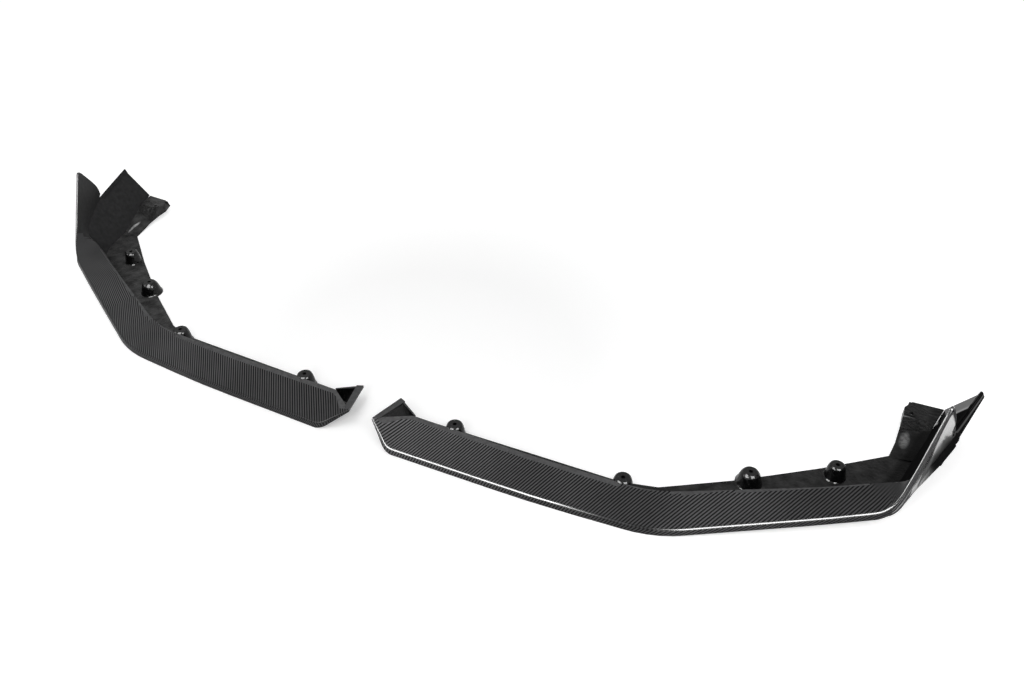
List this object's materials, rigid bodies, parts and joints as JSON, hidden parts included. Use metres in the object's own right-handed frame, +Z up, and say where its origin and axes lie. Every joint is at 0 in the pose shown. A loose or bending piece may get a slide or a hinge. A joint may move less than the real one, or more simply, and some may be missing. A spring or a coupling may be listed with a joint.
{
  "type": "front splitter lip",
  "caption": "Two-piece front splitter lip in glossy carbon weave, with upright end fins, a rear mounting flange with bosses, and end brackets.",
  "frame": {"origin": "on the ground under the middle of the part", "axes": "+X across the car from the centre towards the half with the longer view in the picture, +Y rearwards, +Z up"},
  "size_m": [1.8502, 0.47, 0.1762],
  "materials": {
    "carbon": "woven carbon laminate under a glossy clear coat"
  },
  "bodies": {
    "root": {"left_half": "carbon", "right_half": "carbon"}
  },
  "joints": []
}
